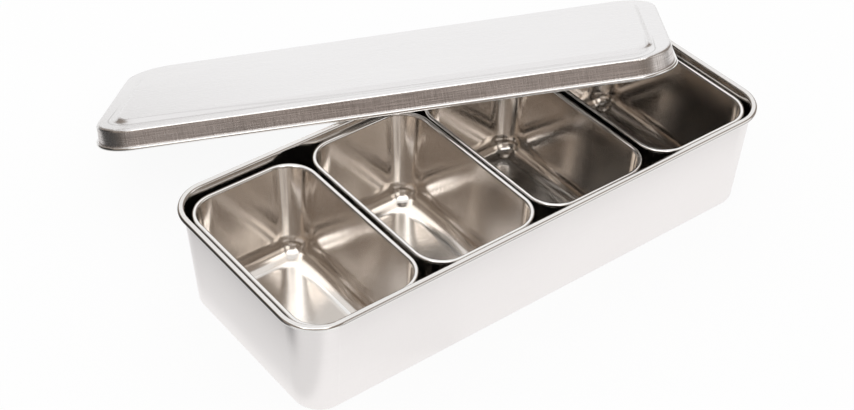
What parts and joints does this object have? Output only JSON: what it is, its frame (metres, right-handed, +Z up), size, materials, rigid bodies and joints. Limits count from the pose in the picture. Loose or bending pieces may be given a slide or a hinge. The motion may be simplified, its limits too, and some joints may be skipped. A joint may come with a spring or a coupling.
{
  "type": "condiment pan box",
  "caption": "Long round-cornered stainless steel box with a rolled rim, deep drop-in pans side by side in it, and a loose one-piece lid leaning askew across its rim.",
  "frame": {"origin": "centre of the tray's flat floor, on the table", "axes": "+Z up, +X along the tray towards the end that the lid's high corner passes over, +Y towards the back, where the lid leans down to the table"},
  "size_m": [0.3599, 0.3293, 0.111],
  "materials": {
    "tray_steel": "satin stainless steel, polished at the rolled rim and inside",
    "pan_steel": "bright drawn stainless steel, softly polished",
    "lid_steel": "satin stainless steel with fine brushing on the skirt"
  },
  "bodies": {
    "tray": {"tray": "tray_steel"},
    "pan_1": {"pan_1": "pan_steel"},
    "pan_2": {"pan_2": "pan_steel"},
    "pan_3": {"pan_3": "pan_steel"},
    "pan_4": {"pan_4": "pan_steel"},
    "lid": {"lid": "lid_steel"}
  },
  "joints": [
    {"name": "lid_lift", "type": "slide", "parent": "tray", "child": "lid", "axis": [0, 0, 1], "range_m": [0, 0.3]},
    {"name": "pan_1_lift", "type": "slide", "parent": "tray", "child": "pan_1", "axis": [0, 0, 1], "range_m": [0, 0.12]},
    {"name": "pan_2_lift", "type": "slide", "parent": "tray", "child": "pan_2", "axis": [0, 0, 1], "range_m": [0, 0.12]},
    {"name": "pan_3_lift", "type": "slide", "parent": "tray", "child": "pan_3", "axis": [0, 0, 1], "range_m": [0, 0.12]},
    {"name": "pan_4_lift", "type": "slide", "parent": "tray", "child": "pan_4", "axis": [0, 0, 1], "range_m": [0, 0.12]}
  ],
  "couplings": [
    {"joint": "pan_2_lift", "follows": "lid_lift", "ratio": 0.4},
    {"joint": "pan_3_lift", "follows": "lid_lift", "ratio": 0.4},
    {"joint": "pan_4_lift", "follows": "lid_lift", "ratio": 0.4}
  ]
}
